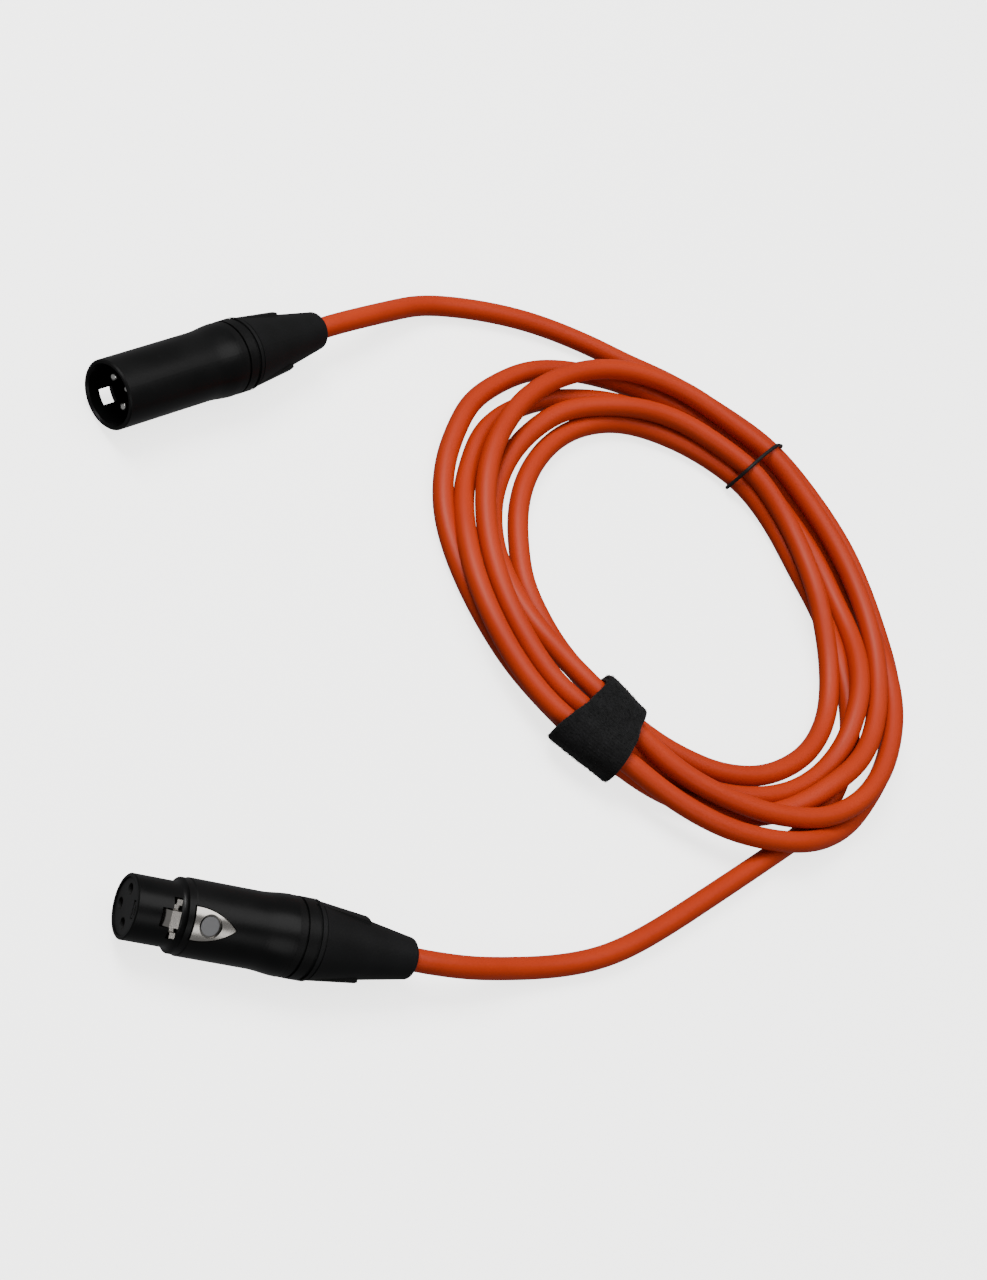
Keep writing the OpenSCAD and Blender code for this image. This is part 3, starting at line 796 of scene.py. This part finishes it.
def paint_latch(board, where, link):
    grain = board.noise(where, 2600.0, 4.0, 0.7)
    cloud = board.noise(where, 200.0, 3.0)
    away = board.out(board.node("ShaderNodeVectorMath", {"operation": "DISTANCE"},
                                {0: where, 1: THUMB_MIDDLE}), "Value")

    def inside(radius):
        made = board.node("ShaderNodeMath", {"operation": "LESS_THAN"},
                          {0: away, 1: radius})
        return board.out(made)

    pad, dish = inside(PAD_R), inside(RIM_SHADE_R)
    plate = board.mix(cloud, shade(0.40, 1.06, 0.92), shade(0.52, 1.05, 0.93))
    # painted shade: a dark ring round the matte pad stands in for the shade along the
    # dish's rim
    plate_with_rim_shade = board.mix(dish * 0.85, plate, shade(0.06))
    link("Base Color", board.mix(pad, plate_with_rim_shade, shade(0.20, 1.0, 1.02)))
    link("Roughness", 0.13 + grain * 0.06 + cloud * 0.05 + dish * 0.10 + pad * 0.28)
    link("Normal", board.bump(grain, 0.00002, 0.35))


latch_silver = finish_material("latch_plate", paint_latch, Metallic=1.0)

# %% Give every frame node its finish
FINISHES = {
    "male_shell": shell_black, "female_shell": shell_black,
    "male_insert": insert_black, "female_insert": insert_black,
    "male_pin": contact_silver, "female_contact": contact_gold,
    "male_ground_spring": spring_steel, "female_ground_contact": spring_steel,
    "male_chuck": chuck_white, "female_chuck": chuck_white,
    "male_coding_ring": bushing_black, "female_coding_ring": bushing_black,
    "male_bushing": bushing_black, "female_bushing": bushing_black,
    "male_boot": boot_black, "female_boot": boot_black,
    "male_wire_1": wire_copper, "male_wire_2": wire_red, "male_wire_3": wire_white,
    "female_wire_1": wire_copper, "female_wire_2": wire_red, "female_wire_3": wire_white,
    "male_cable_end": jacket, "female_cable_end": jacket,
    "male_lead": jacket, "female_lead": jacket, "cable_coil": jacket,
    "latch_lever": latch_silver, "latch_pin": spring_steel, "latch_spring": spring_steel,
    "cable_strap": strap_cloth, "bundle_ring": ring_rubber,
}
for name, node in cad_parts.items():
    starts = [s for s in FINISHES if name.startswith(s)]
    finish = FINISHES[max(starts, key=len)]
    for place in range(len(node.data.materials)):
        node.data.materials[place] = finish
print("finished", len(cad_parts), "frame nodes")


# %% [markdown]
# ## Riding and replacing
# Every new piece says which body it moves with, and the frame solids that it
# stands for are hidden.

# %% Tell the frame about the pieces
for piece, slot, nodes in ((cable, "jacket", ("male_lead", "cable_coil", "female_lead")),
                           (strap, "strap", ("cable_strap",)),
                           (pile, "strap", ()),
                           (ring, "ring_black", ("bundle_ring",))):
    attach(piece, "cable")
    if nodes:
        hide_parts(*nodes)
tuple(line[0] * MM)
[tuple(p * MM) for p in line]


# %% [markdown]
# ## Table and light
# The object lies on a plain pale sweep under large soft lights, so shadows are
# faint and the cable carries one broad highlight along its upper side. The
# sweep glows by itself to stay pale, and is kept out of bounced light and
# reflections, so that its glow doesn't wash out the colours of the object.

# %% Floor and lights
def paint_floor(board, where, link):
    grain = board.noise(where, 40.0, 2.0)
    link("Base Color", board.mix(grain, shade(0.86, 1.0, 0.985), shade(0.88, 1.0, 0.985)))


HALF, TABLE_Z = 3.0, -0.0001
floor_mesh = bpy.data.meshes.new("table_top")
floor_mesh.from_pydata([(x * HALF, y * HALF, TABLE_Z)
                        for x, y in ((-1, -1), (1, -1), (1, 1), (-1, 1))],
                       [], [(0, 1, 2, 3)])
floor = bpy.data.objects.new("table_top", floor_mesh)
bpy.context.scene.collection.objects.link(floor)
floor_mesh.materials.append(finish_material("table_paint", paint_floor, Roughness=0.9,
                                            Specular_IOR_Level=0.1,
                                            Emission_Color=(1.0, 0.995, 0.98, 1.0),
                                            Emission_Strength=2.6))
floor.visible_diffuse = False
floor.visible_glossy = False


def soft_light(name, place, size, power):
    """A round white lamp that looks at the middle of the table."""
    lamp = bpy.data.lights.new(name, "AREA")
    lamp.shape = "DISK"
    lamp.size = size
    lamp.energy = power
    made = bpy.data.objects.new(name, lamp)
    place = Vector(place)
    facing = (-place).to_track_quat("-Z", "Y").to_matrix().to_4x4()
    made.matrix_world = Matrix.Translation(place) @ facing
    bpy.context.scene.collection.objects.link(made)


soft_light("key_light", (-0.7, 0.5, 1.2), 0.8, 27.0)
soft_light("top_light", (0.3, 0.2, 1.6), 1.4, 14.0)
soft_light("fill_light", (0.2, -1.3, 0.9), 1.0, 5.0)

world = bpy.data.worlds.new("studio_air")
world.use_nodes = True
air = world.node_tree.nodes["Background"].inputs
air["Color"].default_value = (0.97, 0.98, 1.0, 1.0)
air["Strength"].default_value = 0.24
bpy.context.scene.world = world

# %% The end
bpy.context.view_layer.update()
